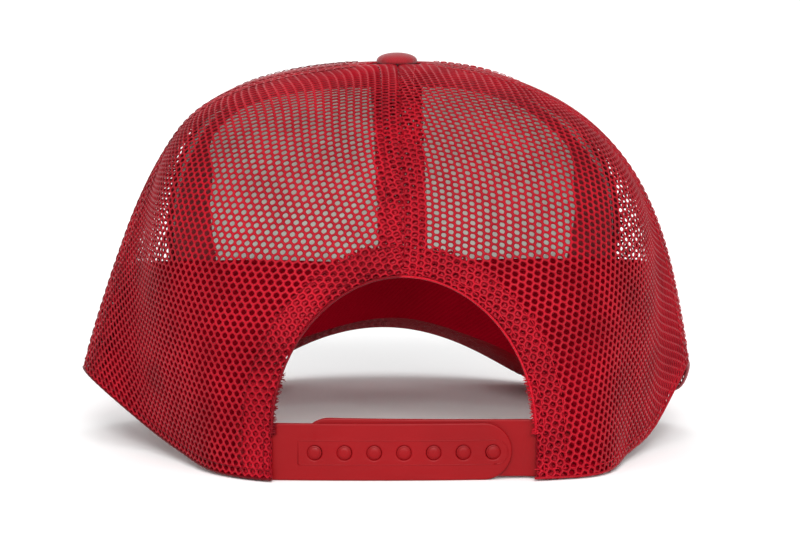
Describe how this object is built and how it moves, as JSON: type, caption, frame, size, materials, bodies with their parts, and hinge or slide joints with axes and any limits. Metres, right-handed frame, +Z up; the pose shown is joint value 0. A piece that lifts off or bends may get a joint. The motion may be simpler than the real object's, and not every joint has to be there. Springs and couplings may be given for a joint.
{
  "type": "trucker mesh cap",
  "caption": "Trucker cap with a foam-backed front panel, open mesh gores at the sides and back, a curved visor and an adjustable snap strap under a rear arch.",
  "frame": {"origin": "point on the table under the middle of the cap's bounding box; the visor's plane of symmetry and the button stand 3.2 mm towards -X from it, because the soft crown has settled to one side", "axes": "+Z up from the table the cap rests on, +Y towards the back of the cap with the strap, -Y towards the tip of the visor, +X towards the wearer's left"},
  "size_m": [0.2084, 0.2276, 0.1318],
  "materials": {
    "mesh": "open hexagonal polyester mesh",
    "front_fabric": "smooth polyester",
    "foam": "foam laminate, matt",
    "tape": "woven tape",
    "sweatband": "cotton twill",
    "visor_board": "moulded board",
    "visor_fabric": "polyester twill",
    "strap_plastic": "semi-gloss moulded",
    "steel": "pressed"
  },
  "bodies": {
    "crown": {"front_panel_fabric": "front_fabric", "front_panel_foam": "foam", "side_mesh_left": "mesh", "side_mesh_right": "mesh", "rear_mesh_left": "mesh", "rear_mesh_right": "mesh", "front_seam_tape_left": "tape", "front_seam_tape_right": "tape", "back_seam_band": "mesh", "side_seam_band_left": "mesh", "side_seam_band_right": "mesh", "arch_facing": "mesh", "sweatband": "sweatband", "top_button": "front_fabric", "button_prong": "steel", "strap_tab_female": "strap_plastic", "strap_tab_male": "strap_plastic", "visor_seam_allowance": "tape"},
    "visor": {"visor_board": "visor_board", "visor_upper_fabric": "visor_fabric", "visor_under_fabric": "visor_fabric"},
    "strap_female": {"strap_female": "strap_plastic"},
    "strap_male": {"strap_male": "strap_plastic"}
  },
  "joints": [
    {"name": "strap_female_swing", "type": "hinge", "parent": "crown", "child": "strap_female", "pos_m": [0.038, 0.10878, 0], "axis": [0, 0, -1], "range_deg": [0, 84]},
    {"name": "strap_male_swing", "type": "hinge", "parent": "crown", "child": "strap_male", "pos_m": [-0.0444, 0.10708, 0], "axis": [0, 0, -1], "range_deg": [0, 80]},
    {"name": "visor_flex", "type": "hinge", "parent": "crown", "child": "visor", "pos_m": [-0.0032, -0.0474, 0.036], "axis": [-1, 0, 0], "range_deg": [0, 20], "stiffness_Nm_per_rad": 1}
  ]
}
